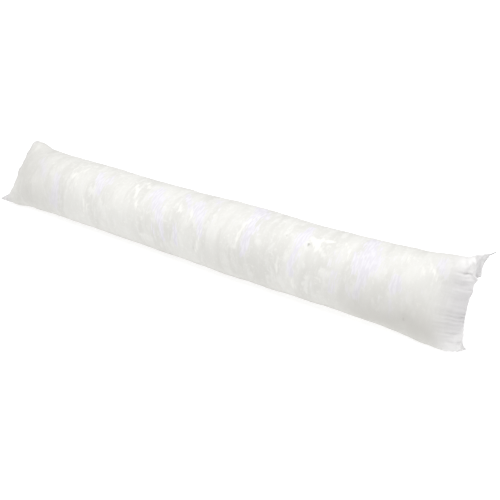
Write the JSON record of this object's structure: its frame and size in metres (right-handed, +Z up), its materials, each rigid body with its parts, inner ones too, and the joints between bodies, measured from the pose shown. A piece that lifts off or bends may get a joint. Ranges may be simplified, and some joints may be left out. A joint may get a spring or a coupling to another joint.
{
  "type": "draught excluder",
  "caption": "Long white cloth tube filled with soft wadding and sewn flat at its ends, laid along the foot of a door to keep draughts out.",
  "frame": {"origin": "on the surface that the tube lies on, under the middle of its box", "axes": "+X along the tube towards the end that is nearer in the picture, +Z up, -Y the front that the picture shows"},
  "size_m": [0.9, 0.1174, 0.1313],
  "materials": {
    "thin_cloth": "thin off-white cloth with a faint silky sheen, the wadding showing through it as soft mottling"
  },
  "bodies": {
    "root": {"filled_tube": "thin_cloth"}
  },
  "joints": []
}
